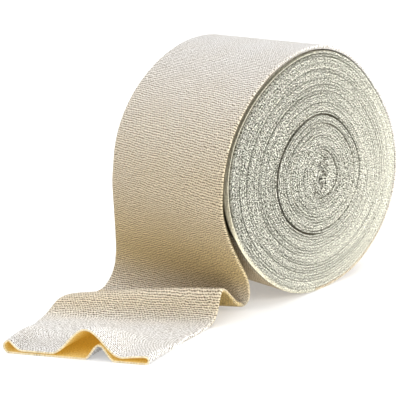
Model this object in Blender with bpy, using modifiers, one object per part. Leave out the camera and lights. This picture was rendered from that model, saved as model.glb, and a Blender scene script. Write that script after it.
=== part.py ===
"""Tubular bandage roll: a knitted tube, pressed flat, wound into a roll whose last turn comes loose.

Frame: metres, +Z up, origin on the floor at the middle of the roll's flat spot. The roll's axis
lies along X, and the loose end leaves the roll towards -Y.
"""

import math

import bmesh
import bpy
import numpy as np
from mathutils import Vector

MM = 0.001

# Cloth
FLAT_WIDTH = 87.5 * MM      # the tube pressed flat, side fold to side fold
WALL = 1.0 * MM             # one layer of the knit
LAYER_GAP = 0.3 * MM        # between the two layers while they are wound
CLEARANCE = 0.3 * MM        # between the roll and the turn that lies on it
TURN = 2 * WALL + LAYER_GAP  # one pressed turn of the tube
STEP = TURN + CLEARANCE     # how far the outermost turn stands over the one below

# Outline of the roll, seen along its axis
ROLL_RADIUS = 75.0 * MM
LOOSE_FROM = math.radians(78)   # where the last turn starts to be loose, from +Y towards +Z
OUTLINE_WAVES = (
    # waves round the roll, share of the radius in the cosine, and in the sine
    (2, 0.048, -0.048),
    (3, 0.000, -0.014),
    (4, 0.012, -0.007),
)
FLAT_SPOT_CUT = 0.9 * MM        # how much of the outline the roll's weight presses flat
TURN_STEPS = 80
STEP_SLOPE = 0.0002             # share of a turn that the face of the step takes up
EDGE_ROUND = 1.0 * MM

# Relief of the two end faces, from the middle outwards
HEART_SHIFT = 3.0 * MM          # the winding starts a little behind the middle of the outline
FACE_GROOVES = (
    # share of the radius, depth, half width
    (0.12, 1.4 * MM, 1.6 * MM),
    (0.45, 1.0 * MM, 0.9 * MM),
    (0.515, 1.7 * MM, 1.1 * MM),
    (0.966, 1.5 * MM, 0.9 * MM),
)
HEART_DEPTH = 1.6 * MM

# Underside of the loose end in millimetres, with y measured from the roll's axis, one row for
# each place along it: its right side fold, its left one, and how far its middle rises
LOOSE_ROWS = (
    # name, right x, y, z, left x, y, z, rise of the middle
    ("front of the roll", 43.75, -81.4, 67.7, -43.75, -82.2, 70.0, 0.0),
    ("comes away", 43.75, -75.2, 48.7, -43.75, -81.6, 51.0, 0.0),
    ("falls", 43.0, -67.2, 35.5, -43.8, -81.0, 36.0, 0.0),
    ("low in the fall", 41.0, -58.2, 23.0, -44.1, -81.0, 24.0, 0.0),
    ("beside the roll", 38.0, -52.8, 13.2, -44.4, -83.0, 14.0, 0.0),
    ("meets the floor", 35.6, -50.7, 6.8, -44.7, -87.0, 7.0, -0.5),
    ("valley", 34.0, -52.8, 2.4, -45.0, -93.0, 2.2, -1.6),
    ("foot of the hump", 34.6, -58.5, 4.4, -45.0, -99.5, 0.8, -0.8),
    ("back of the hump", 35.8, -66.5, 11.5, -44.4, -108.0, 2.8, 0.6),
    ("shoulder", 36.5, -72.0, 16.5, -43.3, -118.0, 5.0, 1.2),
    ("ridge", 36.9, -75.0, 17.3, -42.6, -123.5, 5.6, 1.3),
    ("front of the hump", 37.3, -77.2, 13.5, -41.6, -129.0, 5.2, 1.2),
    ("low front", 37.9, -79.6, 7.5, -40.0, -135.0, 2.8, 0.8),
    ("front foot", 38.4, -83.5, 2.2, -38.0, -141.0, 0.6, -0.8),
    ("lies flat", 39.5, -92.0, 0.2, -34.5, -148.5, 0.1, 0.0),
    ("before the mouth", 42.3, -109.0, 0.0, -28.5, -158.5, 0.0, 0.0),
    ("mouth", 50.0, -142.4, 0.0, -17.5, -185.6, 0.0, 0.0),
)

# Folds of the open mouth: they are highest at the cut edge and fade towards the roll
MOUTH_FOLDS = (
    # layer, middle and half width across the cloth from -1 at the left to 1, height, reach
    ("upper", -1.00, 0.31, 9.0 * MM, 46 * MM),
    ("upper", 0.17, 0.48, 14.4 * MM, 44 * MM),
    ("upper", 1.00, 0.60, 2.4 * MM, 30 * MM),
    ("lower", 0.34, 0.20, 8.0 * MM, 32 * MM),
)
MOUTH_GAP = 0.5 * MM            # between the two layers where the cloth lies free

ROLL_ROWS = 18                  # sections of the loose turn where it lies on the roll
FREE_ROWS = 38                  # and where it is free
ACROSS = 15                     # points across one layer
FOLD_POINTS = 3                 # points round one side fold

KNIT_COLOUR = (0.80, 0.73, 0.60, 1.0)
FACE_COLOUR = (0.72, 0.70, 0.60, 1.0)


def clear_scene():
    for item in list(bpy.data.objects):
        bpy.data.objects.remove(item, do_unlink=True)


def knit_material(name, colour):
    material = bpy.data.materials.new(name)
    material.use_nodes = True
    shader = material.node_tree.nodes["Principled BSDF"]
    shader.inputs["Base Color"].default_value = colour
    shader.inputs["Roughness"].default_value = 0.92
    shader.inputs["Metallic"].default_value = 0.0
    return material


def add_part(name, mesh, collection, material, axis_y):
    part = bpy.data.objects.new(name, mesh)
    part.location.y = axis_y
    collection.objects.link(part)
    mesh.materials.append(material)
    return part


def turned_share(angle):
    """Share of one turn from the step to this angle, the way that the cloth is wound."""
    return ((LOOSE_FROM - angle) / math.tau) % 1.0


def roll_radius(angle, turned):
    """Distance from the axis to the wound cloth, with the spiral's growth over one turn."""
    waves = sum(
        cosine * math.cos(count * angle) + sine * math.sin(count * angle)
        for count, cosine, sine in OUTLINE_WAVES
    )
    return ROLL_RADIUS * (1 + waves) + STEP * (1 - turned)


def outline_lows():
    """Height of the axis over the floor, and y of the middle of the flat spot."""
    angles = np.linspace(math.pi, math.tau, 2000)
    rings = np.array([roll_radius(angle, turned_share(angle)) for angle in angles])
    drop = -rings * np.sin(angles)
    axis_height = drop.max() - FLAT_SPOT_CUT
    pressed = drop >= axis_height
    return float(axis_height), float((rings * np.cos(angles))[pressed].mean())


AXIS_HEIGHT, FLAT_SPOT_Y = outline_lows()


def face_profile():
    """Share of the radius and depth of one end face, from the axis out to the rounded edge."""
    points = [(0.0, HEART_DEPTH)]
    for share, depth, half_width in FACE_GROOVES:
        reach = half_width / ROLL_RADIUS
        points += [(share - reach, 0.0), (share, depth), (share + reach, 0.0)]
    edge = EDGE_ROUND / ROLL_RADIUS
    for quarter in (0.0, 0.5, 1.0):
        turn = quarter * math.pi / 2
        points.append((1 - edge * (1 - math.sin(turn)), EDGE_ROUND * (1 - math.cos(turn))))
    return points


def turned_blank():
    """A round blank with the faces' relief, spun about X."""
    half = FLAT_WIDTH / 2
    side = face_profile()
    profile = [(half - depth, share) for share, depth in side]
    profile += [(depth - half, share) for share, depth in reversed(side)]
    mesh = bpy.data.meshes.new("roll_profile")
    corners = [(x, 0.0, share) for x, share in profile]
    edges = [(i, i + 1) for i in range(len(corners) - 1)]
    mesh.from_pydata(corners, edges, [])
    blank = bpy.data.objects.new("roll_blank", mesh)
    bpy.context.scene.collection.objects.link(blank)
    spin = blank.modifiers.new("spin", "SCREW")
    spin.axis = "X"
    spin.steps = TURN_STEPS
    spin.render_steps = TURN_STEPS
    spin.use_merge_vertices = True
    spin.merge_threshold = 0.0001
    bpy.context.view_layer.update()
    graph = bpy.context.evaluated_depsgraph_get()
    turned = bpy.data.meshes.new_from_object(blank.evaluated_get(graph))
    bpy.data.objects.remove(blank, do_unlink=True)
    return turned


def press_to_outline(mesh):
    """Moves the blank's unit circle to the sagging spiral outline with its flat spot."""
    last_step = TURN_STEPS - 1
    for corner in mesh.vertices:
        share = math.hypot(corner.co.y, corner.co.z)
        spun = (math.atan2(corner.co.z, corner.co.y) / math.tau) % 1.0
        turned = (round(spun * TURN_STEPS) % TURN_STEPS) / last_step * (1 - STEP_SLOPE)
        angle = LOOSE_FROM - turned * math.tau
        reach = share * roll_radius(angle, turned)
        y = reach * math.cos(angle) + HEART_SHIFT * (1 - share)
        z = AXIS_HEIGHT + reach * math.sin(angle)
        corner.co.y = y
        corner.co.z = max(z, 0.0)


def fix_normals(mesh):
    work = bmesh.new()
    work.from_mesh(mesh)
    bmesh.ops.recalc_face_normals(work, faces=work.faces)
    work.to_mesh(mesh)
    work.free()
    mesh.shade_smooth()


def roll_mesh():
    mesh = turned_blank()
    mesh.name = "roll"
    press_to_outline(mesh)
    fix_normals(mesh)
    mesh.set_sharp_from_angle(angle=math.radians(40))
    return mesh


def side_folds():
    """Right and left edge of the loose cloth's underside and its middle's rise, row by row."""
    right, left, rise = [], [], []
    first = LOOSE_FROM + STEP_SLOPE * math.tau + CLEARANCE / ROLL_RADIUS
    last = math.radians(174)
    for angle in np.linspace(first, last, ROLL_ROWS):
        along = (angle - first) / (last - first)
        lift = CLEARANCE * (1 + 1.6 * along**3)
        reach = roll_radius(angle, turned_share(angle)) + lift
        y, z = reach * math.cos(angle), AXIS_HEIGHT + reach * math.sin(angle)
        right.append((FLAT_WIDTH / 2, y, z))
        left.append((-FLAT_WIDTH / 2, y, z))
        rise.append(0.0)
    for _, rx, ry, rz, lx, ly, lz, middle in LOOSE_ROWS:
        right.append((rx * MM, ry * MM, rz * MM))
        left.append((lx * MM, ly * MM, lz * MM))
        rise.append(middle * MM)
    return np.array(right), np.array(left), np.array(rise)


def smooth_through(points, places, wanted):
    """Values at the wanted places of a smooth curve through points that stand at their places."""
    slopes = np.gradient(points, places, axis=0)
    found = []
    for place in wanted:
        i = int(np.clip(np.searchsorted(places, place) - 1, 0, len(places) - 2))
        span = places[i + 1] - places[i]
        t = (place - places[i]) / span
        start = (1 + 2 * t) * (1 - t) ** 2 * points[i] + t * (1 - t) ** 2 * span * slopes[i]
        end = t * t * (3 - 2 * t) * points[i + 1] - t * t * (1 - t) * span * slopes[i + 1]
        found.append(start + end)
    return np.array(found)


def bell(distance):
    """1 at distance 0, falling smoothly to 0 at distance 1."""
    return 0.5 * (1 + math.cos(math.pi * min(abs(distance), 1.0)))


def fold_height(layer, across, to_mouth):
    """Height that the mouth's folds give one layer at this place."""
    return sum(
        height * bell((across - middle) / half_width) * bell(to_mouth / reach)
        for name, middle, half_width, height, reach in MOUTH_FOLDS
        if name == layer
    )


class LooseEnd:
    """The loose turn and free end of the flattened tube, as sections across the cloth."""

    def __init__(self):
        right, left, rise = side_folds()
        middle = (right + left) / 2
        places = np.concatenate([[0], np.cumsum(np.linalg.norm(np.diff(middle, axis=0), axis=1))])
        on_roll = np.linspace(0, places[ROLL_ROWS - 1], ROLL_ROWS)
        free = np.linspace(places[ROLL_ROWS - 1], places[-1], FREE_ROWS)[1:]
        self.places = np.concatenate([on_roll, free])
        self.on_roll = places[ROLL_ROWS - 1]
        self.right = smooth_through(right, places, self.places)
        self.left = smooth_through(left, places, self.places)
        self.rise = smooth_through(rise[:, None], places, self.places)[:, 0]
        self.right_way = np.gradient(self.right, self.places, axis=0)
        self.left_way = np.gradient(self.left, self.places, axis=0)

    def layer_gap(self, row):
        freed = (self.places[row] - self.on_roll) / (self.places[-1] - self.on_roll)
        return LAYER_GAP + (MOUTH_GAP - LAYER_GAP) * max(freed, 0.0)

    def middle_line(self, row):
        """Middle of the tube's wall as a closed section: distance across and height."""
        width = np.linalg.norm(self.right[row] - self.left[row])
        to_mouth = self.places[-1] - self.places[row]
        thick = 2 * WALL + self.layer_gap(row)

        def top(across):
            return thick + fold_height("upper", across, to_mouth)

        left_round = top(-1.0) / 2
        right_round = top(1.0) / 2
        spread = np.linspace(0, 1, ACROSS)
        stops = left_round + (width - left_round - right_round) * spread
        shares = 2 * stops / width - 1
        lower = [(a, WALL / 2 + fold_height("lower", u, to_mouth)) for a, u in zip(stops, shares)]
        upper = [(a, top(u) - WALL / 2) for a, u in zip(stops, shares)]
        line = list(lower)
        turns = [math.pi * (k + 1) / (FOLD_POINTS + 1) for k in range(FOLD_POINTS)]
        for (a, low), (_, high), sign in ((lower[-1], upper[-1], 1), (lower[0], upper[0], -1)):
            centre, radius = (low + high) / 2, (high - low) / 2
            arc = [(a + sign * radius * math.sin(t), centre - radius * math.cos(t)) for t in turns]
            line += arc + upper[::-1] if sign > 0 else arc[::-1]
        return np.array(line), width

    def section(self, row, offset):
        """The section moved out by offset from the middle of the wall, as points in space."""
        line, width = self.middle_line(row)
        way = np.roll(line, -1, axis=0) - np.roll(line, 1, axis=0)
        way /= np.linalg.norm(way, axis=1)[:, None]
        line = line + offset * np.stack([way[:, 1], -way[:, 0]], axis=1)
        across = (self.right[row] - self.left[row]) / width
        points = []
        for a, height in line:
            share = min(max(a / width, 0.0), 1.0)
            way = self.left_way[row] * (1 - share) + self.right_way[row] * share
            out = np.cross(way, across)
            out /= np.linalg.norm(out)
            rise = self.rise[row] * 4 * share * (1 - share)
            point = self.left[row] + a * across + (height + rise) * out
            point[2] = max(point[2], 0.0)
            points.append(point)
        return points

    def rows(self):
        return range(len(self.places))


def loose_end_mesh():
    """Lofts the tube's outer and inner walls and joins them at both open ends."""
    cloth = LooseEnd()
    work = bmesh.new()
    walls = {}
    for name, offset in (("outer", WALL / 2), ("inner", -WALL / 2)):
        walls[name] = [
            [work.verts.new(Vector(point)) for point in cloth.section(row, offset)]
            for row in cloth.rows()
        ]
    count = len(walls["outer"][0])
    for name, sections in walls.items():
        for first, second in zip(sections, sections[1:]):
            for i in range(count):
                j = (i + 1) % count
                corners = [first[i], first[j], second[j], second[i]]
                work.faces.new(corners if name == "outer" else corners[::-1])
    for end in (0, -1):
        outer, inner = walls["outer"][end], walls["inner"][end]
        for i in range(count):
            j = (i + 1) % count
            work.faces.new((outer[i], outer[j], inner[j], inner[i]))
    bmesh.ops.recalc_face_normals(work, faces=work.faces)
    mesh = bpy.data.meshes.new("loose_end")
    work.to_mesh(mesh)
    work.free()
    mesh.shade_smooth()
    mesh.set_sharp_from_angle(angle=math.radians(50))
    return mesh


def main():
    clear_scene()
    collection = bpy.data.collections.new("tubular_bandage_roll")
    bpy.context.scene.collection.children.link(collection)
    face = knit_material("wound_knit", FACE_COLOUR)
    knit = knit_material("loose_knit", KNIT_COLOUR)
    add_part("roll", roll_mesh(), collection, face, -FLAT_SPOT_Y)
    add_part("loose_end", loose_end_mesh(), collection, knit, -FLAT_SPOT_Y)


main()
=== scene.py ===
"""Dressed scene of a tubular bandage roll: wound turns, loose turn with its free end, and studio.

Frame: metres, +Z up, origin on the floor at the middle of the roll's flat spot. The roll's axis
lies along X, and the loose end leaves the roll towards -Y.
"""

import logging
import math
from dataclasses import dataclass
from enum import Enum

import bpy
import numpy as np
from mathutils import Matrix, Vector


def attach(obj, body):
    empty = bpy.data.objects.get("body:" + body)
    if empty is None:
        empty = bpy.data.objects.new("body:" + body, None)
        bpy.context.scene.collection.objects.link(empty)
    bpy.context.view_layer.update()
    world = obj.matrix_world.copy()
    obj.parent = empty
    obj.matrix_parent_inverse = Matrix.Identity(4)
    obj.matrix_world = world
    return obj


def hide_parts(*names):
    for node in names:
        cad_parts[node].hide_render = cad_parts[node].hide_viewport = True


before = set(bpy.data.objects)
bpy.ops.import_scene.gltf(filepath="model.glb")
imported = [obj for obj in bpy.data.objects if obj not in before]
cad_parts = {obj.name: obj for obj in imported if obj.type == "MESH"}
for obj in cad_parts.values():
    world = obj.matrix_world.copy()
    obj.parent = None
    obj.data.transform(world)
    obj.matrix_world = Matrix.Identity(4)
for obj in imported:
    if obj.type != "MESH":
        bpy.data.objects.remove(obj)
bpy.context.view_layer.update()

LOG = logging.getLogger("bandage_roll")
MM = 0.001
BODY = "root"
CLOTH_MAP = "cloth"


class Wall(Enum):
    """Which wall of the knitted tube a face belongs to, as its material's place."""

    OUTSIDE = 0
    INSIDE = 1
    CUT_EDGE = 2


class Side(Enum):
    """End face of the roll, as the sign of its X."""

    RIGHT = 1
    LEFT = -1


@dataclass(frozen=True)
class WaveSum:
    """Smooth uneven values along a line, from a few seeded cosines."""

    seed: int
    size: float
    slowest: float
    fastest: float
    count: int = 12

    def at(self, place: np.ndarray) -> np.ndarray:
        """Values at the places.

        Args:
            place: where along the line, in turns or metres.

        Returns:
            An uneven value for each place, about the given size at its largest.
        """
        rng = np.random.default_rng(self.seed)
        rates = rng.uniform(self.slowest, self.fastest, self.count) * math.tau
        starts = rng.uniform(0, math.tau, self.count)
        total = sum(np.cos(rate * place + start) for rate, start in zip(rates, starts))
        return self.size * total / math.sqrt(self.count)


@dataclass(frozen=True)
class WoundOutline:
    """Outline of the roll seen along its axis: a sagging spiral with a flat spot."""

    radius: float = 75.0 * MM
    waves: tuple = ((2, 0.048, -0.048), (3, 0.000, -0.014), (4, 0.012, -0.007))
    step: float = 2.6 * MM
    loose_from: float = math.radians(78)
    flat_cut: float = 0.9 * MM
    sag_height: float = 5.0 * MM

    def base(self, angle: np.ndarray) -> np.ndarray:
        """Distance from the axis without the spiral's growth, for angles from +Y towards +Z."""
        share = 1 + sum(c * np.cos(n * angle) + s * np.sin(n * angle) for n, c, s in self.waves)
        return self.radius * share

    def surface(self, angle: np.ndarray) -> np.ndarray:
        """Distance from the axis to the outside of the turn that the loose turn lies on.

        Args:
            angle: from the flat spot at -90 degrees, up the back and over to 270 degrees.

        Returns:
            The distance for each angle, in metres.
        """
        return self.base(angle) + self.step * (angle - self.loose_from) / math.tau

    def lows(self) -> tuple[float, float]:
        """Where the roll touches the floor.

        Returns:
            Height of the axis over the floor, and y of the middle of the flat spot from the axis.
        """
        angles = np.linspace(math.pi, math.tau, 2000)
        turned = ((self.loose_from - angles) / math.tau) % 1.0
        rings = self.base(angles) + self.step * (1 - turned)
        drop = -rings * np.sin(angles)
        height = drop.max() - self.flat_cut
        return float(height), float((rings * np.cos(angles))[drop >= height].mean())

    def settle(self, z: np.ndarray) -> np.ndarray:
        """Heights with the lowest cloth pressed up to the floor."""
        squeezed = (z + self.flat_cut) * self.sag_height / (self.sag_height + self.flat_cut)
        return np.where(z < self.sag_height, np.maximum(squeezed, 0), z)


OUTLINE = WoundOutline()
AXIS_HEIGHT, FLAT_SPOT_Y = OUTLINE.lows()


def mesh_object(name: str, points: np.ndarray, faces: list, materials: list) -> bpy.types.Object:
    """A smooth-shaded mesh object in the scene.

    Args:
        name: the piece's name.
        points: corner places in metres.
        faces: corner numbers of each face.
        materials: the materials in the order of the faces' numbers.

    Returns:
        The object.
    """
    mesh = bpy.data.meshes.new(name)
    mesh.from_pydata(points.tolist(), [], faces)
    mesh.shade_smooth()
    for material in materials:
        mesh.materials.append(material)
    piece = bpy.data.objects.new(name, mesh)
    bpy.context.scene.collection.objects.link(piece)
    return piece


def point_values(piece: bpy.types.Object, name: str, values: np.ndarray) -> None:
    """Stores one number for each corner of the mesh, for its material to read."""
    layer = piece.data.attributes.new(name, "FLOAT", "POINT")
    layer.data.foreach_set("value", values.astype(np.float32).ravel())


def face_map(piece: bpy.types.Object, places: np.ndarray) -> None:
    """Stores the cloth's own coordinates in metres, one pair for each face corner."""
    layer = piece.data.uv_layers.new(name=CLOTH_MAP)
    layer.uv.foreach_set("vector", places.astype(np.float32).ravel())


class NodeDesk:
    """Adds and joins shader nodes in one tree."""

    def __init__(self, tree: bpy.types.NodeTree) -> None:
        """Takes the tree to work in."""
        self.tree = tree

    def add(self, kind: str, inputs: dict | None = None, **options: object) -> bpy.types.Node:
        """A new node with its options and inputs set.

        Args:
            kind: the node's type without its ShaderNode prefix.
            inputs: values or sockets by the input's name or number.
            options: the node's own properties.

        Returns:
            The node.
        """
        node = self.tree.nodes.new("ShaderNode" + kind)
        for key, value in options.items():
            setattr(node, key, value)
        for key, value in (inputs or {}).items():
            self.feed(node.inputs[key], value)
        return node

    def feed(self, socket: bpy.types.NodeSocket, value: object) -> None:
        """Links a socket to an input, or sets its value.

        Args:
            socket: the input.
            value: another node's socket, or a value.
        """
        if isinstance(value, bpy.types.NodeSocket):
            self.tree.links.new(value, socket)
        else:
            socket.default_value = value

    def math(self, operation: str, *values: object) -> bpy.types.NodeSocket:
        """Result of a Math node."""
        node = self.add("Math", dict(enumerate(values)), operation=operation)
        return node.outputs[0]

    def span(self, value: object, low: float, high: float) -> bpy.types.NodeSocket:
        """0 to 1, smoothly, as the value goes from low to high."""
        given = {"Value": value, "From Min": low, "From Max": high}
        return self.add("MapRange", given, interpolation_type="SMOOTHSTEP").outputs["Result"]

    def blend(self, share: object, first: object, second: object) -> bpy.types.NodeSocket:
        """Colour between the first and the second."""
        node = self.add("Mix", {0: share, 6: first, 7: second}, data_type="RGBA")
        return node.outputs[2]

    def number(self, name: str) -> bpy.types.NodeSocket:
        """Number that the mesh stores at its corners."""
        return self.add("Attribute", attribute_name=name).outputs["Fac"]


@dataclass(frozen=True)
class StitchPattern:
    """Node group that turns cloth coordinates into knitted stitches."""

    inputs: tuple = ("Course Pitch", "Wale Pitch", "Waviness", "Ripple", "Skew", "Looseness")
    outputs: tuple = ("Height", "Pores", "Line", "Grain", "Blotch")
    drift_scale: float = 55.0
    ripple_scale: float = 420.0
    fuzz_scale: float = 1.7
    speck_scale: float = 1.5
    speck_span: tuple = (0.43, 0.57)
    pore_span: tuple = (0.38, 0.72)
    fuzz_span: tuple = (0.35, 0.62)
    dot_size: float = 0.30
    dot_mean: float = 0.80
    line_height: float = 0.45
    crown_height: float = 0.55
    fuzz_height: float = 0.25
    grain_height: float = -0.45

    def group(self) -> bpy.types.NodeTree:
        """Makes the group.

        Returns:
            The group, with Height, Pores, Line, Grain and Blotch over the surface.
        """
        tree = bpy.data.node_groups.new("knit_stitches", "ShaderNodeTree")
        tree.interface.new_socket("Cloth", in_out="INPUT", socket_type="NodeSocketVector")
        for way, names in (("INPUT", self.inputs), ("OUTPUT", self.outputs)):
            for name in names:
                tree.interface.new_socket(name, in_out=way, socket_type="NodeSocketFloat")
        desk = NodeDesk(tree)
        given = tree.nodes.new("NodeGroupInput").outputs
        result = tree.nodes.new("NodeGroupOutput").inputs
        course, wale, drift = self.places(desk, given)
        cell = desk.add("CombineXYZ", {"X": course, "Y": wale}).outputs[0]
        loops = desk.add(
            "TexVoronoi",
            {"Vector": cell, "Scale": 1.0, "Randomness": given["Looseness"]},
            voronoi_dimensions="2D",
        )
        fuzz = desk.add("TexNoise", {"Vector": cell, "Scale": self.fuzz_scale, "Detail": 4.0})
        specks = {"Vector": cell, "Scale": self.speck_scale, "Detail": 2.0, "Roughness": 0.65}
        grain = desk.span(desk.add("TexNoise", specks).outputs[0], *self.speck_span)
        line = self.lines(desk, course, wale)
        apart = loops.outputs["Distance"]
        crown = desk.math("MULTIPLY", desk.math("SUBTRACT", 1.0, apart), self.crown_height)
        height = desk.math("MULTIPLY_ADD", line, self.line_height, crown)
        height = desk.math("MULTIPLY_ADD", fuzz.outputs[0], self.fuzz_height, height)
        height = desk.math("MULTIPLY_ADD", grain, self.grain_height, height)
        open_fuzz = desk.span(fuzz.outputs[0], *self.fuzz_span)
        pores = desk.math("MULTIPLY", desk.span(apart, *self.pore_span), open_fuzz)
        for name, value in zip(self.outputs, (height, pores, line, grain, drift)):
            desk.feed(result[name], value)
        return tree

    def places(self, desk: NodeDesk, given: bpy.types.NodeOutputs) -> tuple:
        """Courses and wales counted over the cloth, which run a little unevenly.

        Args:
            desk: where the group's nodes are made.
            given: the group's inputs.

        Returns:
            Sockets with the course, the wale and the slow drift.
        """
        cloth = given["Cloth"]
        drift = desk.add("TexNoise", {"Vector": cloth, "Scale": self.drift_scale, "Detail": 3.0})
        ripple = desk.add("TexNoise", {"Vector": cloth, "Scale": self.ripple_scale, "Detail": 1.0})
        parts = desk.add("SeparateXYZ", {0: cloth})
        sway = desk.math("SUBTRACT", drift.outputs[0], 0.5)
        sway = desk.math("MULTIPLY", sway, given["Waviness"])
        shake = desk.math("SUBTRACT", ripple.outputs[0], 0.5)
        shake = desk.math("MULTIPLY", shake, given["Ripple"])
        skew = desk.math("MULTIPLY_ADD", parts.outputs["Y"], given["Skew"], parts.outputs["X"])
        along = desk.math("ADD", desk.math("ADD", skew, sway), shake)
        course = desk.math("DIVIDE", along, given["Course Pitch"])
        wale = desk.math("DIVIDE", parts.outputs["Y"], given["Wale Pitch"])
        return course, wale, drift.outputs[0]

    def lines(
        self, desk: NodeDesk, course: bpy.types.NodeSocket, wale: bpy.types.NodeSocket
    ) -> bpy.types.NodeSocket:
        """Furrows between courses, broken into dots by the wales.

        Args:
            desk: where the group's nodes are made.
            course: number of the course at each place.
            wale: number of the wale.

        Returns:
            Socket with 1 on a course and less in a furrow.
        """
        wave = desk.math("SINE", desk.math("MULTIPLY", course, math.tau))
        slope = desk.math("MULTIPLY_ADD", wale, math.tau, desk.math("MULTIPLY", course, math.pi))
        dots = desk.math("MULTIPLY_ADD", desk.math("SINE", slope), self.dot_size, self.dot_mean)
        furrow = desk.math("MULTIPLY", desk.math("MULTIPLY_ADD", wave, -0.5, 0.5), dots)
        return desk.math("SUBTRACT", 1.0, furrow)


@dataclass(frozen=True)
class KnitFinish:
    """Finish of one side of the knit: colours, the stitches' size and how deep they show."""

    name: str
    pale: tuple
    warm: tuple
    pore: tuple
    course_pitch: float = 1.29 * MM
    wale_pitch: float = 1.50 * MM
    skew: float = 0.04
    # painted highlight: pale yellow colour along the folded edges
    fold: tuple = (1.0, 0.90, 0.62)
    fold_strength: float = 0.85
    pore_strength: float = 0.20
    line_strength: float = 1.35
    warm_lines: float = 0.7
    grain_strength: float = 0.24
    bump_height: float = 0.38 * MM
    looseness: float = 0.62
    waviness: float = 2.2 * MM
    ripple: float = 1.2 * MM
    blotch_strength: float = 0.05
    broken_least: float = 0.5
    broken_by_grain: float = 0.55
    roughness: float = 0.90
    pore_roughness: float = 0.06
    specular: float = 0.1
    sheen: float = 0.05
    sheen_roughness: float = 0.6
    # painted shade: near-black colour for gaps, creases and the loose turn's underside
    deep: tuple = (0.045, 0.032, 0.008)
    deep_strength: float = 1.0
    # painted light: emission for parts lit through the thin cloth
    painted_glow: tuple = (0.0, 0.0, 0.0)
    painted_glow_strength: float = 0.0

    def coordinates(self, desk: NodeDesk) -> bpy.types.NodeSocket:
        """The cloth's own coordinates, along it and around the tube."""
        return desk.add("UVMap", uv_map=CLOTH_MAP).outputs["UV"]

    def ground(self, desk: NodeDesk) -> bpy.types.NodeSocket:
        """Yarn colour with painted light and shade and the painted fold highlight, before the stitches'
        shade.

        Args:
            desk: where the material's nodes are made.

        Returns:
            The colour.
        """
        # painted light and shade: the stored tone pulls the yarn towards warm, for warm shade on walls and
        # the lit side of the end faces
        yarn = desk.blend(desk.number("painted_light_and_shade"), (*self.pale, 1.0), (*self.warm, 1.0))
        # painted highlight along the folded edges
        fold = desk.math("MULTIPLY", desk.number("fold"), self.fold_strength)
        return desk.blend(fold, yarn, (*self.fold, 1.0))

    def speckle(self, desk: NodeDesk) -> object:
        """How strongly the yarn's specks show."""
        return self.grain_strength

    def deepen(self, desk: NodeDesk, colour: bpy.types.NodeSocket) -> bpy.types.NodeSocket:
        """Colour with painted deep shade in the gaps between turns, the heart's creases and under the loose
        turn.
        """
        deep = desk.math("MULTIPLY", desk.number("shade"), self.deep_strength)
        return desk.blend(deep, colour, (*self.deep, 1.0))

    def material(self, stitches: bpy.types.NodeTree) -> bpy.types.Material:
        """The finish as a material.

        Args:
            stitches: the group that StitchPattern makes.

        Returns:
            The material.
        """
        made = bpy.data.materials.new(self.name)
        made.use_nodes = True
        desk = NodeDesk(made.node_tree)
        shader = made.node_tree.nodes["Principled BSDF"]
        knit = desk.add("Group", node_tree=stitches)
        desk.feed(knit.inputs["Cloth"], self.coordinates(desk))
        pitches = (self.course_pitch, self.wale_pitch)
        uneven = (self.waviness, self.ripple, self.skew, self.looseness)
        for name, value in zip(StitchPattern.inputs, pitches + uneven):
            knit.inputs[name].default_value = value
        ground = self.ground(desk)
        blotch = desk.span(knit.outputs["Blotch"], 0.3, 0.7)
        blotch = desk.math("MULTIPLY", blotch, self.blotch_strength)
        ground = desk.blend(blotch, ground, (*self.warm, 1.0))
        shade = desk.math("MULTIPLY", knit.outputs["Pores"], self.pore_strength)
        low = desk.math("POWER", desk.math("SUBTRACT", 1.0, knit.outputs["Line"]), 2.0)
        grain = knit.outputs["Grain"]
        broken = desk.math("MULTIPLY_ADD", grain, self.broken_by_grain, self.broken_least)
        broken = desk.math("MULTIPLY", low, broken)
        # course lines show deeper where the painted warm shade is
        depth = desk.math("MULTIPLY_ADD", desk.number("painted_light_and_shade"), self.warm_lines, self.line_strength)
        shade = desk.math("MULTIPLY_ADD", broken, depth, shade)
        shade = desk.math("MULTIPLY_ADD", grain, self.speckle(desk), shade)
        colour = desk.blend(desk.math("MINIMUM", shade, 1.0), ground, (*self.pore, 1.0))
        colour = self.deepen(desk, colour)
        rough = desk.math("MULTIPLY_ADD", knit.outputs["Pores"], self.pore_roughness, self.roughness)
        bump = desk.add("Bump", {"Height": knit.outputs["Height"], "Distance": self.bump_height})
        desk.feed(shader.inputs["Base Color"], colour)
        desk.feed(shader.inputs["Roughness"], rough)
        desk.feed(shader.inputs["Normal"], bump.outputs[0])
        shader.inputs["Sheen Weight"].default_value = self.sheen
        shader.inputs["Sheen Roughness"].default_value = self.sheen_roughness
        shader.inputs["Specular IOR Level"].default_value = self.specular
        # painted glow, though the cloth is no lamp
        shader.inputs["Emission Color"].default_value = (*self.painted_glow, 1.0)
        shader.inputs["Emission Strength"].default_value = self.painted_glow_strength
        return made


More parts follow.
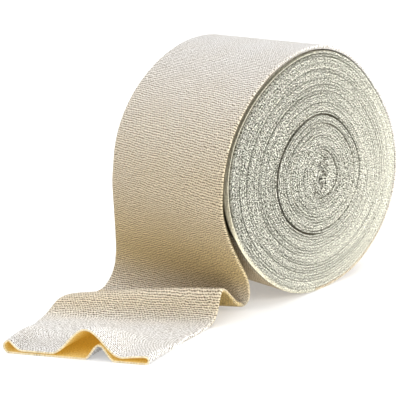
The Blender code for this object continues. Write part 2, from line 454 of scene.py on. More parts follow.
@dataclass(frozen=True)
class FaceFinish(KnitFinish):
    """Finish of the roll's end faces: the turns' fold edges with their gaps in shadow."""

    gap_strength: float = 0.97
    # painted light: fewer specks on the lit side of the end faces
    lit_side_less_speckle: float = 0.52

    def coordinates(self, desk: NodeDesk) -> bpy.types.NodeSocket:
        """Places on the end face, across the turns."""
        place = desk.add("SeparateXYZ", {0: desk.add("TexCoord").outputs["Object"]})
        return desk.add("CombineXYZ", {"X": place.outputs["Y"], "Y": place.outputs["Z"]}).outputs[0]

    def ground(self, desk: NodeDesk) -> bpy.types.NodeSocket:
        """Colour of the fold edges, with painted shade darkening it towards the gaps between turns.

        Args:
            desk: where the material's nodes are made.

        Returns:
            The colour.
        """
        crown = super().ground(desk)
        # painted shade in the gaps between turns
        gap = desk.math("MULTIPLY", desk.number("gap"), self.gap_strength)
        return desk.blend(gap, crown, (*self.pore, 1.0))

    def speckle(self, desk: NodeDesk) -> object:
        """How strongly the specks show, less on the lit side of the face and on the painted highlights.

        Args:
            desk: where the material's nodes are made.

        Returns:
            The strength.
        """
        less = desk.math("MULTIPLY", desk.number("painted_light_and_shade"), self.lit_side_less_speckle)
        less = desk.math("MAXIMUM", less, desk.number("fold"))
        return desk.math("MULTIPLY", desk.math("SUBTRACT", 1.0, less), self.grain_strength)


# warm is the colour of the painted warm shade, and of a faint random blotch
OUTER_KNIT = KnitFinish(
    name="knit_outside",
    pale=(0.99, 0.98, 0.97),
    warm=(0.72, 0.505, 0.165),
    pore=(0.12, 0.085, 0.045),
)
# painted light: the inside is amber and glows a little, for light through the thin pale cloth
INNER_KNIT = KnitFinish(
    name="knit_inside",
    pale=(0.90, 0.72, 0.36),
    warm=(0.80, 0.52, 0.11),
    pore=(0.40, 0.22, 0.04),
    fold_strength=0.0,
    pore_strength=0.2,
    line_strength=0.4,
    warm_lines=0.0,
    painted_glow=(1.0, 0.66, 0.08),
    painted_glow_strength=0.18,
)
CUT_KNIT = KnitFinish(
    name="cut_edge",
    pale=(0.95, 0.82, 0.56),
    warm=(0.92, 0.76, 0.44),
    pore=(0.50, 0.42, 0.26),
    pore_strength=0.4,
    line_strength=0.3,
    warm_lines=0.0,
)
# pore darkens the yarn's specks and, as painted shade, the gaps between turns; warm marks the lit side, a
# painted light
FACE_KNIT = FaceFinish(
    name="fold_edges",
    pale=(1.0, 0.99, 0.87),
    warm=(1.0, 0.98, 0.84),
    pore=(0.035, 0.036, 0.018),
    course_pitch=1.08 * MM,
    wale_pitch=1.08 * MM,
    skew=0.0,
    pore_strength=0.25,
    line_strength=0.0,
    warm_lines=0.0,
    grain_strength=1.16,
    bump_height=0.6 * MM,
    looseness=1.0,
)


@dataclass(frozen=True)
class WoundTurns:
    """The wound tube: both end faces as one spiral of fold edges, and the outermost wall."""

    width: float = 87.5 * MM
    turns: int = 40
    parts: int = 5
    columns: int = 210
    across: int = 24
    starts_at: float = math.radians(270)
    heart_share: float = 0.05
    heart_shift: float = 3.0 * MM
    heart_reach: float = 0.24
    heart_squeeze: float = 0.66
    heart_stretch: float = 0.35
    heart_lean: float = -0.12
    heart_bulge: float = 1.0 * MM
    heart_roll: float = 0.7 * MM
    pleat_start: float = 0.6
    pleat_pitch: float = 7.5 * MM
    pleat_depth: float = 1.7 * MM
    gap_changes: WaveSum = WaveSum(seed=23, size=0.45, slowest=0.4, fastest=6.5)
    hollow_at: float = math.radians(214)
    hollow_half: float = math.radians(60)
    hollow_depth: float = 2.1 * MM
    gap_depth: float = 0.65 * MM
    gap_power: float = 2.2
    gap_least: float = 0.10
    gap_full_at: float = 1.6 * MM
    shade_full_at: float = 1.3 * MM
    streak_strength: float = 0.4
    calm: float = 0.7
    rim_relief: float = 0.4
    # painted highlight: a pale band on the outer turns at the front and a pale line inside slack gaps
    front_at: float = 0.24
    front_half: float = 0.26
    fold_rows: float = 5.5
    slack_fold: float = 0.7
    slack_fold_at: float = 3 * MM
    fade_power: float = 0.8
    # painted warm shade on the outermost wall
    wall_painted_shade: float = 0.64
    # turn of the face's lit side, which gets painted light
    lit_side_turn: float = 0.6
    unevenness: WaveSum = WaveSum(seed=11, size=0.22 * MM, slowest=0.2, fastest=4.5)
    streaks: WaveSum = WaveSum(seed=37, size=0.60, slowest=0.28, fastest=0.72)
    drift: WaveSum = WaveSum(seed=5, size=0.10 * MM, slowest=0.5, fastest=9.0, count=16)
    # start of a slack turn in turns from the outside, its length in turns, depth, extra width,
    # and how early it is deepest, from 0.5 for early to 1 for its middle
    slack: tuple = (
        ("behind the loose turn", 0.20, 0.38, 3.2 * MM, 0.90 * MM, 0.60),
        ("behind the outermost turn", 1.20, 0.30, 1.2 * MM, 0.10 * MM, 0.70),
        ("ring", 20.97, 0.90, 1.9 * MM, 0.60 * MM, 0.60),
        ("right of the ring", 21.60, 0.55, 1.0 * MM, 0.15 * MM, 1.0),
        ("over the ring", 19.95, 0.80, 0.9 * MM, 0.10 * MM, 0.60),
        ("inside the ring", 24.40, 0.65, 1.8 * MM, 0.25 * MM, 1.0),
        ("left of the heart", 27.00, 0.50, 0.9 * MM, 0.15 * MM, 1.0),
        ("right of the heart", 33.45, 0.65, 1.8 * MM, 0.30 * MM, 1.0),
    )
    # share of a turn from the bottom, how much painted shade darkens the gap under the loose turn there
    rim_gap: tuple = ((0.12, 0.0), (0.20, 0.45), (0.25, 1.0), (0.42, 1.0), (0.55, 0.3), (1.0, 0.0))
    # middle in y from the axis, size, pitch in z, start of the zigzag, its low and high end, depth
    creases: tuple = (
        (3.0 * MM, 3.6 * MM, 8.0 * MM, 0.4, -14 * MM, 14 * MM, 1.0),
        (7.0 * MM, 1.8 * MM, 5.0 * MM, 2.1, -4 * MM, 13 * MM, 0.7),
        (-2.4 * MM, 1.6 * MM, 6.2 * MM, 4.0, -14 * MM, 3 * MM, 0.7),
    )
    crease_half: float = 0.80 * MM
    crease_depth: float = 1.1 * MM
    crease_shade: float = 0.80
    crease_fade: float = 3 * MM

    def share(self, turn: np.ndarray) -> np.ndarray:
        """Share of the radius at each number of turns in from the outside.

        Args:
            turn: turns from the outer end, along the spiral.

        Returns:
            The share, 1 at the outside.
        """
        start = OUTLINE.base(np.array(self.starts_at))
        first = (self.starts_at - OUTLINE.loose_from) / math.tau
        outer = 1 + (first - turn) * OUTLINE.step / start
        slope_from = 1 + (first - 1) * OUTLINE.step / start
        inner = slope_from - (slope_from - self.heart_share) * (turn - 1) / (self.turns - 1)
        return np.where(turn < 1, outer, inner)

    def slackness(self, along: np.ndarray) -> tuple[np.ndarray, np.ndarray]:
        """Depth and half width that slack turns add to the gap outside each place.

        Args:
            along: turns from the outer end, along the spiral.

        Returns:
            The extra depth and the extra half width, in metres.
        """
        depth, spread = np.zeros_like(along), np.zeros_like(along)
        for _, start, length, deep, wide, early in self.slack:
            inside = np.clip((along - start) / length, 0, 1)
            fade = np.abs(np.sin(math.pi * inside**early)) ** self.fade_power
            depth += deep * fade
            spread += wide * fade
        return depth, spread

    def crumple(self, y: np.ndarray, z: np.ndarray) -> np.ndarray:
        """How deep the heart's zigzag creases are at each place.

        Args:
            y: places along y from the axis.
            z: heights from the axis.

        Returns:
            From 0 to 1 at the bottom of a crease.
        """
        total = 0 * y
        for middle, size, pitch, start, low, high, depth in self.creases:
            line = middle + size * 2 / math.pi * np.arcsin(np.sin(z / pitch * math.tau + start))
            near = np.exp(-(((y - line) / self.crease_half) ** 2))
            begins = np.clip((z - low) / self.crease_fade, 0, 1)
            ends = np.clip((high - z) / self.crease_fade, 0, 1)
            total = np.maximum(total, depth * near * begins * ends)
        return total

    def grid(self) -> dict[str, np.ndarray]:
        """Values over the spiral grid, one row for each part of a turn and a column each way round.

        Returns:
            y, z, relief, gap, shade, the painted light and shade tone and the painted fold highlight, each
            an array of rows by columns.
        """
        rows = np.arange(self.turns * self.parts + 1)[:, None]
        turned = (np.arange(self.columns) / self.columns)[None, :]
        angle = self.starts_at - turned * math.tau
        part = (rows % self.parts) / self.parts
        along = rows // self.parts + turned
        share = self.share(rows / self.parts + turned) / self.share(turned)
        nearness = np.abs(2 * part - 1) + 0 * along
        before, widen_out = self.slackness(along)
        _, widen_in = self.slackness(along + 1)
        first_part, last_part = part == 1 / self.parts, part == (self.parts - 1) / self.parts
        hollow = np.clip(np.abs(angle - self.hollow_at) / self.hollow_half, 0, 1)
        hollow = self.hollow_depth * 0.5 * (1 + np.cos(math.pi * hollow))
        reach = share * (OUTLINE.surface(angle) - hollow * np.clip(2 * share - 1, 0, 1))
        reach = reach + self.drift.at(along) * np.sin(math.pi * np.clip(share, 0, 1))
        reach = reach - np.where(first_part, widen_out, 0) + np.where(last_part, widen_in, 0)
        relief = self.gap_depth * nearness**self.gap_power + self.unevenness.at(along)
        relief = relief * np.where(rows == 0, self.rim_relief, 1.0) + np.where(part == 0, before, 0)
        heart = np.clip((self.heart_reach - share) / self.heart_reach, 0, 1)
        heart = heart * heart * (3 - 2 * heart)
        y = reach * np.cos(angle)
        z = reach * np.sin(angle)
        pleats = np.sin(z / self.pleat_pitch * math.tau + self.pleat_start)
        roll = self.heart_roll * np.sin(z / self.pleat_pitch * math.pi + y / MM)
        relief = relief + heart * (self.heart_bulge + roll)
        relief = np.maximum(relief, 0)
        lean = self.heart_lean * z
        y = y * (1 - self.heart_squeeze * heart) + heart * (self.pleat_depth * pleats + lean)
        z = z * (1 + self.heart_stretch * heart)
        y = y + self.heart_shift * (1 - share)
        crease = self.crumple(y, z) * np.clip(heart * 3, 0, 1)
        relief = relief + crease * self.crease_depth
        return {
            "y": y - FLAT_SPOT_Y,
            "z": OUTLINE.settle(z + AXIS_HEIGHT),
            "relief": relief,
            **self.tones(rows, turned, share, heart, crease),
        }

    def tones(
        self, rows: np.ndarray, turned: np.ndarray, share: np.ndarray, heart: np.ndarray, crease: np.ndarray
    ) -> dict[str, np.ndarray]:
        """Numbers that the materials read at each corner of the grid.

        Args:
            rows: row numbers, one to a row.
            turned: share of a turn from the bottom, one to a column.
            share: share of the radius at each corner.
            heart: how far inside the heart each corner lies, from 0 to 1.
            crease: how deep the heart's creases are there, from 0 to 1.

        Returns:
            gap, shade, the painted light and shade tone and the painted fold highlight, each an array of
            rows by columns.
        """
        part = (rows % self.parts) / self.parts
        along = rows // self.parts + turned
        before, _ = self.slackness(along)
        # painted light: the lower right of each face, where light falls, is a little yellower, with fewer
        # specks and fainter turn lines
        lit_way = np.cos(self.starts_at - turned * math.tau + self.lit_side_turn)
        painted_light_and_shade = np.clip(0.5 + 0.5 * lit_way, 0, 1) * np.clip(share, 0, 1)
        # painted shade: the gaps between turns, the slack gaps and the streaks along the turns are darker
        strength = np.clip(0.5 + 1.3 * self.gap_changes.at(along), 0, 1)
        strength = self.gap_least + (1 - self.gap_least) * strength
        gap = np.abs(2 * part - 1) ** self.gap_power * strength
        gap = gap + np.where(part == 0, before / self.gap_full_at, 0)
        streaks = self.streak_strength * np.clip(self.streaks.at(along), 0, 1)
        gap = gap + streaks * (1 - self.calm * painted_light_and_shade)
        gap = gap * (1 - self.calm * np.clip(heart * 2, 0, 1))
        # painted highlight: pale rim band at the front and pale line inside slack gaps, with the gap shade
        # taken off there
        front = np.clip(1 - np.abs(turned - self.front_at) / self.front_half, 0, 1) ** 0.5
        fold = np.clip(1.2 - rows / self.fold_rows, 0, 1) * front
        slack_fold = self.slack_fold * np.clip(before / self.slack_fold_at, 0, 1)
        fold = np.maximum(fold, np.where(part == 1 / self.parts, slack_fold, 0))
        gap = gap * (1 - np.clip(1.5 * fold, 0, 1))
        # painted deep shade in slack gaps, the heart's creases and under the loose turn's rim
        shade = np.where(part == 0, before / self.shade_full_at, 0) + crease * self.crease_shade
        shade = shade + np.where(rows == 0, self.rim_shade(turned), 0)
        return {
            "gap": np.clip(gap, 0, 1),
            "shade": np.clip(shade, 0, 1),
            "painted_light_and_shade": painted_light_and_shade,
            "fold": fold,
        }

    def rim_shade(self, turned: np.ndarray) -> np.ndarray:
        """How much painted shade darkens the gap under the loose turn, by the share of a turn from the
        bottom.
        """
        return np.interp(turned, *np.array(self.rim_gap).T)

    def corner(self, row: int, column: int) -> int:
        """Number of a grid corner, where one past the last column is a whole turn further in.

        Args:
            row: the corner's row.
            column: its column, up to one past the last.

        Returns:
            Its place among the corners of one end face.
        """
        if column == self.columns:
            row, column = min(row + self.parts, self.turns * self.parts), 0
        return row * self.columns + column

    def rim(self) -> list[int]:
        """Corners of the outer boundary in order, with the step at the flat spot."""
        outer = [self.corner(0, column) for column in range(self.columns)]
        return outer + [self.corner(row, 0) for row in range(self.parts, 0, -1)]

    def build(self, face: bpy.types.Material, wall: bpy.types.Material) -> bpy.types.Object:
        """Makes the wound piece.

        Args:
            face: material of the end faces.
            wall: material of the outermost wall.

        Returns:
            The piece.
        """
        values = self.grid()
        rows = self.turns * self.parts
        count = values["y"].size
        x = self.width / 2 - values["relief"]
        sides = [np.stack([s.value * x, values["y"], values["z"]], -1).reshape(-1, 3) for s in Side]
        points = list(sides)
        faces: list = []
        for row in range(rows - self.parts):
            for column in range(self.columns):
                ring = [
                    self.corner(row, column),
                    self.corner(row + 1, column),
                    self.corner(row + 1, column + 1),
                    self.corner(row, column + 1),
                ]
                faces.append(ring[::-1])
                faces.append([corner + count for corner in ring])
        inner = self.inner_ring(rows)
        hearts = [side[inner].mean(axis=0) for side in sides]
        middle = 2 * count
        points.append(np.array(hearts))
        for i, corner in enumerate(inner):
            after = inner[(i + 1) % len(inner)]
            faces.append([middle, corner, after][::-1])
            faces.append([middle + 1, corner + count, after + count])
        face_count = len(faces)
        wall_points, wall_faces = self.wall_strips(sides, count)
        points.append(wall_points)
        faces += wall_faces
        piece = mesh_object("wound_turns", np.concatenate(points), faces, [face, wall])
        marks = np.zeros(len(faces), np.int32)
        marks[face_count:] = 1
        piece.data.polygons.foreach_set("material_index", marks)
        extra = len(piece.data.vertices) - 2 * count
        none = np.zeros(extra)
        turned = np.arange(self.columns) / self.columns
        rim_shade = np.concatenate([self.rim_shade(turned), np.zeros(self.parts)])
        # the wall gets even painted warm shade, and painted deep shade next to the rim under the loose turn
        walls = {
            "gap": none,
            "fold": none,
            "painted_light_and_shade": none + self.wall_painted_shade,
            "shade": np.concatenate([np.zeros(len(Side)), np.tile(rim_shade, self.across - 1)]),
        }
        for name, rest in walls.items():
            flat = values[name].ravel()
            point_values(piece, name, np.concatenate([flat, flat, rest]))
        self.map_wall(piece)
        return piece

    def inner_ring(self, rows: int) -> list[int]:
        """Corners round the heart, from the last whole turn's inner edge.

        Args:
            rows: rows of the grid, without the first.

        Returns:
            The corners in order.
        """
        last = rows - self.parts
        ring = [self.corner(last, column) for column in range(self.columns)]
        return ring + [self.corner(row, 0) for row in range(rows, last, -1)]

    def wall_strips(self, sides: list, count: int) -> tuple[np.ndarray, list]:
        """The outermost wall, between the rims of the two end faces.

        Args:
            sides: corner places of the right and the left end face.
            count: how many corners an end face has.

        Returns:
            The wall's own corners, and its faces.
        """
        rim = self.rim()
        right, left = sides[0][rim], sides[1][rim]
        shares = np.linspace(0, 1, self.across + 1)[1:-1, None, None]
        between = right * (1 - shares) + left * shares
        first = 2 * count + len(Side)
        rings = [rim]
        rings += [[first + k * len(rim) + i for i in range(len(rim))] for k in range(len(shares))]
        rings.append([corner + count for corner in rim])
        faces = []
        for ring, after in zip(rings, rings[1:]):
            for i in range(len(rim)):
                j = (i + 1) % len(rim)
                faces.append([ring[i], ring[j], after[j], after[i]])
        return between.reshape(-1, 3), faces

    def map_wall(self, piece: bpy.types.Object) -> None:
        """Gives each face corner its place along and around the cloth.

        Args:
            piece: the wound piece.
        """
        mesh = piece.data
        corners = np.empty(len(mesh.loops), np.int32)
        mesh.loops.foreach_get("vertex_index", corners)
        places = np.empty(len(mesh.vertices) * 3)
        mesh.vertices.foreach_get("co", places)
        places = places.reshape(-1, 3)
        angle = np.arctan2(places[:, 2] - AXIS_HEIGHT, places[:, 1] + FLAT_SPOT_Y)
        angle = np.where(angle > self.starts_at - math.tau, angle, angle + math.tau)
        pair = np.stack([angle * OUTLINE.radius, places[:, 0]], -1)
        face_map(piece, pair[corners])


@dataclass(frozen=True)
class LooseTurn:
    """The last turn, which lies on the roll, falls down its front and runs to the open mouth."""

    width: float = 87.5 * MM
    wall: float = 1.0 * MM
    wound_gap: float = 0.3 * MM
    mouth_gap: float = 0.5 * MM
    clearance: float = 0.3 * MM
    clearance_growth: float = 1.6
    starts_at: float = math.radians(-89.5)
    leaves_at: float = math.radians(174)
    guides: int = 88
    roll_rows: int = 130
    free_rows: int = 150
    across: int = 56
    fold_points: int = 9
    around: float = 175.0 * MM
    # painted highlight along the loose turn's side folds
    fold_reach: float = 1.4 * MM
    fold_fade: float = 90 * MM
    shaded_rows: int = 4
    # painted shade: the inside is darker amber from this far in from the mouth
    amber_from: float = 16 * MM
    underside_from: float = -70 * MM
    settled_from: float = -60 * MM
    edge_bulge: float = 0.25
    # name of the place, right side fold x, y, z, left one x, y, z, rise of the middle, all in
    # millimetres with y from the axis, then how much painted warm shade the cloth gets there, 0 to 1
    rows: tuple = (
        ("front of the roll", 43.75, -81.4, 67.7, -43.75, -82.2, 70.0, 0.0, 0.57),
        ("comes away", 43.75, -75.2, 48.7, -43.75, -81.6, 51.0, 0.0, 0.72),
        ("falls", 43.0, -67.2, 35.5, -43.8, -81.0, 36.0, 0.0, 0.84),
        ("low in the fall", 41.0, -58.2, 23.0, -44.1, -81.0, 24.0, 0.0, 0.82),
        ("beside the roll", 38.0, -52.8, 13.2, -44.4, -83.0, 14.0, 0.0, 0.58),
        ("meets the floor", 35.6, -50.7, 6.8, -44.7, -87.0, 7.0, -0.5, 0.42),
        ("valley", 34.0, -52.8, 2.4, -45.0, -93.0, 2.2, -1.6, 0.34),
        ("foot of the hump", 34.6, -58.5, 4.4, -45.0, -99.5, 0.8, -0.8, 0.9),
        ("back of the hump", 35.8, -66.5, 11.5, -44.4, -108.0, 2.8, 0.6, 0.6),
        ("shoulder", 36.5, -72.0, 16.5, -43.3, -118.0, 5.0, 1.2, 0.46),
        ("ridge", 36.9, -75.0, 17.3, -42.6, -123.5, 5.6, 1.3, 0.43),
        ("front of the hump", 37.3, -77.2, 13.5, -41.6, -129.0, 5.2, 1.2, 0.50),
        ("low front", 37.9, -79.6, 7.5, -40.0, -135.0, 2.8, 0.8, 0.44),
        ("front foot", 38.4, -83.5, 2.2, -38.0, -141.0, 0.6, -0.8, 0.22),
        ("lies flat", 39.5, -92.0, 0.2, -34.5, -148.5, 0.1, 0.0, 0.06),
        ("before the mouth", 42.3, -109.0, 0.0, -28.5, -158.5, 0.0, 0.0, 0.0),
        ("mouth", 50.0, -142.4, 0.0, -17.5, -185.6, 0.0, 0.0, 0.0),
    )
    # angle round the roll in degrees, how much painted warm shade the cloth gets there
    roll_painted_shade: tuple = (
        (-90, 0.5), (-60, 0.4), (-20, 0.12), (20, 0.0), (105, 0.0), (130, 0.14), (155, 0.36), (174, 0.53),
    )
    # angle round the roll in degrees, how much painted deep shade the loose turn's underside and lower side
    # folds get there
    gap_shade: tuple = ((-90, 0.1), (40, 0.1), (80, 0.2), (105, 0.5), (130, 0.9), (174, 1.0))
    # layer, middle and half width across from -1 at the left to 1, height, reach from the mouth
    folds: tuple = (
        ("upper", -1.00, 0.31, 9.0 * MM, 46 * MM),
        ("upper", 0.17, 0.48, 14.4 * MM, 44 * MM),
        ("upper", 1.00, 0.60, 2.4 * MM, 30 * MM),
        ("lower", 0.34, 0.20, 8.0 * MM, 32 * MM),
    )

    def guide_points(self) -> tuple[np.ndarray, np.ndarray, np.ndarray]:
        """Side folds of the loose turn's underside, before smoothing.

        Returns:
            The right fold, the left fold, and rise, painted warm shade and painted deep shade, one row for
            each guide.
        """
        angle = np.linspace(self.starts_at, self.leaves_at, self.guides)
        loose = (angle - OUTLINE.loose_from) / (self.leaves_at - OUTLINE.loose_from)
        lift = self.clearance * (1 + self.clearance_growth * np.clip(loose, 0, 1) ** 3)
        reach = OUTLINE.surface(angle) + lift
        y, z = reach * np.cos(angle), AXIS_HEIGHT + reach * np.sin(angle)
        half = np.full_like(y, self.width / 2)
        table = np.array([row[1:] for row in self.rows]) * MM
        # painted warm shade by the angle round the roll: none on top, more at the front and bottom
        warm = np.interp(np.degrees(angle), *np.array(self.roll_painted_shade).T)
        right = np.concatenate([np.stack([half, y, z], -1), table[:, 0:3]])
        left = np.concatenate([np.stack([-half, y, z], -1), table[:, 3:6]])
        rise = np.concatenate([np.zeros_like(y), table[:, 6]])
        warm = np.concatenate([warm, table[:, 7] / MM])
        fading = np.clip(1 - np.arange(len(table)) / self.shaded_rows, 0, 1)
        shade = np.interp(np.degrees(angle), *np.array(self.gap_shade).T)
        shade = np.concatenate([shade, fading])
        return right, left, np.stack([rise, warm, shade], -1)

    @staticmethod
    def smooth(points: np.ndarray, places: np.ndarray, wanted: np.ndarray) -> np.ndarray:
        """Values of a smooth curve through the points.

        Args:
            points: values to pass through, one row each.
            places: where along the curve they stand.
            wanted: places to give values for.

        Returns:
            One row of values for each wanted place.
        """
        slopes = np.gradient(points, places, axis=0)
        i = np.clip(np.searchsorted(places, wanted) - 1, 0, len(places) - 2)
        span = (places[i + 1] - places[i])[:, None]
        t = (wanted - places[i])[:, None] / span
        start = (1 + 2 * t) * (1 - t) ** 2 * points[i] + t * (1 - t) ** 2 * span * slopes[i]
        end = t * t * (3 - 2 * t) * points[i + 1] - t * t * (1 - t) * span * slopes[i + 1]
        return start + end

    def fold_height(self, layer: str, across: np.ndarray, to_mouth: np.ndarray) -> np.ndarray:
        """Height that the mouth's folds give one layer.

        Args:
            layer: upper or lower.
            across: from -1 at the left side fold to 1.
            to_mouth: distance from the cut edge, in metres.

        Returns:
            The height over the layer's flat place, in metres.
        """
        total = 0 * across * to_mouth
        for name, middle, half_width, height, reach in self.folds:
            if name == layer:
                near = np.clip(np.abs(across - middle) / half_width, 0, 1)
                far = np.clip(to_mouth / reach, 0, 1)
                bells = 0.25 * (1 + np.cos(math.pi * near)) * (1 + np.cos(math.pi * far))
                total = total + height * bells
        return total

    def sections(self) -> dict[str, np.ndarray]:
        """Middle line of the tube's wall, row by row, as distance across and height.

        Returns:
            across and height, with the rows' places, side folds, directions, rise and tones.
        """
        right, left, rise = self.guide_points()
        middle = (right + left) / 2
        steps = np.linalg.norm(np.diff(middle, axis=0), axis=1)
        places = np.concatenate([[0], np.cumsum(steps)])
        split = places[self.guides - 1]
        wanted = np.concatenate([
            np.linspace(0, split, self.roll_rows),
            np.linspace(split, places[-1], self.free_rows)[1:],
        ])
        right = self.smooth(right, places, wanted)
        left = self.smooth(left, places, wanted)
        rise, warm, shade = np.hsplit(self.smooth(rise, places, wanted), 3)
        freed = np.clip((wanted - split) / (wanted[-1] - split), 0, 1)[:, None]
        to_mouth = (wanted[-1] - wanted)[:, None]
        width = np.linalg.norm(right - left, axis=1)[:, None]
        thick = 2 * self.wall + self.wound_gap + (self.mouth_gap - self.wound_gap) * freed
        ends = np.array([[-1.0, 1.0]])
        round_left, round_right = np.hsplit(
            (thick + self.fold_height("upper", ends, to_mouth)) / 2, 2
        )
        spread = np.linspace(0, 1, self.across)[None, :]
        stops = round_left + (width - round_left - round_right) * spread
        shares = 2 * stops / width - 1
        lower = self.wall / 2 + self.fold_height("lower", shares, to_mouth)
        upper = thick + self.fold_height("upper", shares, to_mouth) - self.wall / 2
        turn = (math.pi * np.arange(1, self.fold_points + 1) / (self.fold_points + 1))[None, :]
        arcs = []
        for column, sign in ((-1, 1), (0, -1)):
            low, high = lower[:, column, None], upper[:, column, None]
            radius, centre = (high - low) / 2, (high + low) / 2
            stop = stops[:, column, None]
            arcs.append((stop + sign * radius * np.sin(turn), centre - radius * np.cos(turn)))
        (right_a, right_h), (left_a, left_h) = arcs
        across = np.hstack([stops, right_a, stops[:, ::-1], left_a[:, ::-1]])
        height = np.hstack([lower, right_h, upper[:, ::-1], left_h[:, ::-1]])
        return {
            "across": across,
            "height": height,
            "width": width,
            "places": wanted,
            "right": right,
            "left": left,
            "right_way": np.gradient(right, wanted, axis=0),
            "left_way": np.gradient(left, wanted, axis=0),
            "rise": rise,
            "warm": warm,
            "shade": np.clip(shade, 0, 1),
            "settled": wanted < split,
        }

    def shell(self, line: dict[str, np.ndarray], offset: float) -> np.ndarray:
        """One wall of the tube in space.

        Args:
            line: what sections gives.
            offset: distance out from the middle of the wall, in metres.

        Returns:
            Corner places as rows by columns by three.
        """
        across, height, width = line["across"], line["height"], line["width"]
        d_across = np.roll(across, -1, 1) - np.roll(across, 1, 1)
        d_height = np.roll(height, -1, 1) - np.roll(height, 1, 1)
        length = np.hypot(d_across, d_height)
        across = across + offset * d_height / length
        height = height - offset * d_across / length
        share = np.clip(across / width, 0, 1)
        side = ((line["right"] - line["left"]) / width)[:, None, :]
        left_way, right_way = line["left_way"][:, None, :], line["right_way"][:, None, :]
        way = left_way * (1 - share[..., None]) + right_way * share[..., None]
        out = np.cross(way, np.broadcast_to(side, way.shape))
        out /= np.linalg.norm(out, axis=2, keepdims=True)
        lift = height + line["rise"] * 4 * share * (1 - share)
        points = line["left"][:, None, :] + across[..., None] * side + lift[..., None] * out
        points[..., 1] -= FLAT_SPOT_Y
        on_roll = line["settled"][:, None] & (points[..., 1] > self.settled_from)
        settled = OUTLINE.settle(points[..., 2])
        points[..., 2] = np.maximum(np.where(on_roll, settled, points[..., 2]), 0)
        return points

    def build(self, materials: list) -> bpy.types.Object:
        """Makes the loose turn as one closed wall of knit, open as a tube at both ends.

        Args:
            materials: outside, inside and cut edge, in the order of Wall.

        Returns:
            The piece.
        """
        line = self.sections()
        outer, inner = self.shell(line, self.wall / 2), self.shell(line, -self.wall / 2)
        middle = self.shell(line, 0.0)
        rows, columns = outer.shape[:2]
        count = rows * columns
        bulge = (middle[-1] - middle[-2]) * self.edge_bulge
        rounds = [middle[0], middle[-1] + bulge]
        points = np.concatenate([outer.reshape(-1, 3), inner.reshape(-1, 3), *rounds])
        steps = np.diff(line["across"], axis=1, append=line["across"][:, :1])
        rises = np.diff(line["height"], axis=1, append=line["height"][:, :1])
        lengths = np.hypot(steps, rises)
        round_places = np.concatenate([np.zeros((rows, 1)), np.cumsum(lengths, 1)], axis=1)
        faces, marks, places = [], [], []

        def add(corners: list, wall: Wall, cloth: list) -> None:
            """Adds one face.

            Args:
                corners: its corner numbers.
                wall: the wall of the tube that it belongs to.
                cloth: its corners' places on the cloth.
            """
            faces.append(corners)
            marks.append(wall.value)
            places.extend(cloth)

        along = line["places"]
        for row in range(rows - 1):
            for i in range(columns):
                j = (i + 1) % columns
                ring = [row * columns + i, row * columns + j]
                ring += [(row + 1) * columns + j, (row + 1) * columns + i]
                cloth = [
                    (along[row], round_places[row, i]),
                    (along[row], round_places[row, i + 1]),
                    (along[row + 1], round_places[row + 1, i + 1]),
                    (along[row + 1], round_places[row + 1, i]),
                ]
                add(ring, Wall.OUTSIDE, cloth)
                add([corner + count for corner in ring[::-1]], Wall.INSIDE, cloth[::-1])
        for end, row in enumerate((0, rows - 1)):
            for i in range(columns):
                j = (i + 1) % columns
                first = 2 * count + end * columns
                cloth = [(along[row], round_places[row, i]), (along[row], round_places[row, i + 1])]
                near = [row * columns + i, row * columns + j, first + j, first + i]
                far = [first + i, first + j, count + row * columns + j, count + row * columns + i]
                for ring in (near, far):
                    turned = ring if end == 0 else ring[::-1]
                    pair = [cloth[0], cloth[1], cloth[1], cloth[0]]
                    add(turned[::-1], Wall.CUT_EDGE, pair)
        piece = mesh_object("loose_turn", points, faces, materials)
        piece.data.polygons.foreach_set("material_index", marks)
        face_map(piece, np.array(places))
        for name, (outside, inside) in self.marks(line, outer).items():
            ends = [outside[0], outside[-1]]
            point_values(piece, name, np.concatenate([outside.ravel(), inside.ravel(), *ends]))
        return piece

    def marks(self, line: dict[str, np.ndarray], outer: np.ndarray) -> dict[str, tuple]:
        """Numbers that the material reads at each corner of one wall.

        Args:
            line: what sections gives.
            outer: corner places of the outer wall.

        Returns:
            painted light and shade tone, painted fold highlight and painted deep shade on the outside and
            the inside, each from 0 to 1.
        """
        across, width = line["across"], line["width"]
        share = np.clip(across / width, 0, 1)
        # painted warm shade along the loose turn, a little more to its right, full on the hump's underside
        painted_light_and_shade = line["warm"] * (0.94 + 0.10 * share)
        shaded_underside = np.zeros(across.shape, bool)
        shaded_underside[:, : self.across + self.fold_points // 2] = True
        shaded_underside &= (line["warm"] > 0.2) & (outer[..., 1] < self.underside_from)
        painted_light_and_shade = np.where(shaded_underside, 1.0, painted_light_and_shade)
        # painted highlight along the side folds, fading in from the start and on the flat tail
        near = np.minimum(across, width - across)
        fade = np.clip(line["places"] / self.fold_fade, 0, 1)[:, None]
        fade = fade * np.clip(3 * line["warm"], 0.1, 1)
        fold = fade * np.clip(1 - near / self.fold_reach, 0, 1) ** 1.5
        # painted deep shade on the lower layer and the lower half of each side fold
        deep = np.zeros(across.shape)
        half = self.fold_points // 2 + 1
        deep[:, : self.across + half] = deep[:, across.shape[1] - half :] = 1
        deep = deep * line["shade"]
        to_mouth = (line["places"][-1] - line["places"])[:, None] + 0 * across
        # painted shade: the inside turns darker amber further in from the mouth
        inside_shade = np.clip(to_mouth / self.amber_from, 0, 1)
        none = np.zeros(across.shape)
        return {
            "painted_light_and_shade": (np.clip(painted_light_and_shade, 0, 1), inside_shade),
            "fold": (fold, none),
            "shade": (deep, none),
        }


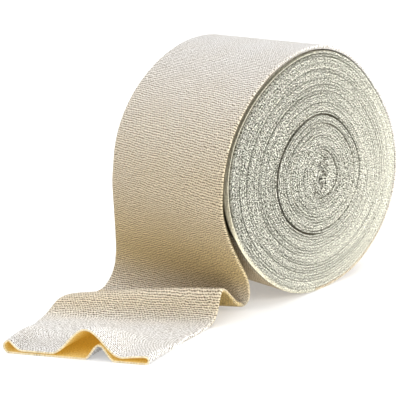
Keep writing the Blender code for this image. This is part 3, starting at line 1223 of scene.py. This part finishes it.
@dataclass(frozen=True)
class Studio:
    """Pale floor, soft lights and the camera at the photograph's viewing angle."""

    azimuth: float = math.radians(40.5841)
    elevation: float = math.radians(12.7891)
    distance: float = 0.6156133
    yaw: float = math.radians(-3.5392)
    pitch: float = math.radians(-2.3982)
    aim_height: float = 75 * MM
    lens: float = 90.0
    sensor: float = 36.0
    floor_size: float = 8.0
    sun_way: tuple = (0.30, 0.22, -0.93)
    sun_power: float = 3.15
    sun_spread: float = math.radians(110)
    surround: float = 0.38
    floor_tone: float = 0.72
    floor_glow: float = 0.30
    # name, place, aim, width, power, colour
    lights: tuple = (
        ("right softbox", (0.62, 0.24, 0.20), (0.04, 0.03, 0.07), 0.3, 4.95, (1.0, 0.99, 0.96)),
    )

    def camera_turn(self) -> tuple[Vector, Matrix]:
        """Where the camera stands and looks.

        Returns:
            Its place and its turn.
        """
        level = math.cos(self.elevation)
        back = Vector((
            math.sin(self.azimuth) * level,
            -math.cos(self.azimuth) * level,
            math.sin(self.elevation),
        ))
        eye = Vector((0, -FLAT_SPOT_Y, self.aim_height)) + back * self.distance
        ahead = -back
        right = ahead.cross(Vector((0, 0, 1))).normalized()
        up = right.cross(ahead)
        look = ahead * math.cos(self.yaw) * math.cos(self.pitch)
        look += right * math.sin(self.yaw) * math.cos(self.pitch) + up * math.sin(self.pitch)
        right = look.cross(Vector((0, 0, 1))).normalized()
        up = right.cross(look)
        return eye, Matrix((right, up, -look)).transposed()

    def place_camera(self) -> None:
        """Makes the scene's camera."""
        eye, turn = self.camera_turn()
        data = bpy.data.cameras.new("camera")
        data.lens = self.lens
        data.sensor_width = self.sensor
        data.clip_start = 0.02
        camera = bpy.data.objects.new("camera", data)
        camera.matrix_world = Matrix.Translation(eye) @ turn.to_4x4()
        bpy.context.scene.collection.objects.link(camera)
        bpy.context.scene.camera = camera

    def lay_floor(self) -> None:
        """Makes the plain pale floor."""
        half = self.floor_size / 2
        corners = np.array([(-half, -half, 0), (half, -half, 0), (half, half, 0), (-half, half, 0)])
        pale = bpy.data.materials.new("pale_floor")
        pale.use_nodes = True
        shader = pale.node_tree.nodes["Principled BSDF"]
        shader.inputs["Base Color"].default_value = (*[self.floor_tone] * 3, 1.0)
        shader.inputs["Roughness"].default_value = 0.6
        shader.inputs["Emission Color"].default_value = (1.0, 1.0, 1.0, 1.0)
        shader.inputs["Emission Strength"].default_value = self.floor_glow
        mesh_object("floor", corners, [[0, 1, 2, 3]], [pale])

    def hang_lights(self) -> None:
        """Makes the soft lights and the pale surround."""
        for name, place, aim, width, power, colour in self.lights:
            data = bpy.data.lights.new(name, "AREA")
            data.size = width
            data.energy = power
            data.color = colour
            light = bpy.data.objects.new(name, data)
            light.location = place
            light.visible_camera = False
            way = Vector(aim) - Vector(place)
            light.rotation_euler = way.to_track_quat("-Z", "Y").to_euler()
            bpy.context.scene.collection.objects.link(light)
        data = bpy.data.lights.new("soft sun", "SUN")
        data.energy = self.sun_power
        data.angle = self.sun_spread
        sun = bpy.data.objects.new("soft sun", data)
        sun.rotation_euler = Vector(self.sun_way).to_track_quat("-Z", "Y").to_euler()
        bpy.context.scene.collection.objects.link(sun)
        world = bpy.data.worlds.new("pale_surround")
        world.use_nodes = True
        surround = world.node_tree.nodes["Background"]
        surround.inputs["Color"].default_value = (1.0, 1.0, 1.0, 1.0)
        surround.inputs["Strength"].default_value = self.surround
        bpy.context.scene.world = world
        bpy.context.scene.view_settings.view_transform = "Standard"

    def set_up(self) -> None:
        """Camera, floor and lights."""
        self.place_camera()
        self.lay_floor()
        self.hang_lights()


def main() -> None:
    """Builds the studio and both pieces."""
    logging.basicConfig(level=logging.INFO, format="%(message)s")
    Studio().set_up()
    stitches = StitchPattern().group()
    outside, inside, cut, face = (
        finish.material(stitches) for finish in (OUTER_KNIT, INNER_KNIT, CUT_KNIT, FACE_KNIT)
    )

    wound = WoundTurns().build(face, outside)
    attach(wound, BODY)
    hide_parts("roll")
    LOG.info("wound turns: %d faces", len(wound.data.polygons))

    turn = LooseTurn()
    loose = turn.build([outside, inside, cut])
    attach(loose, BODY)
    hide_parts("loose_end")

    bpy.context.view_layer.update()


if __name__ == "__main__":
    main()
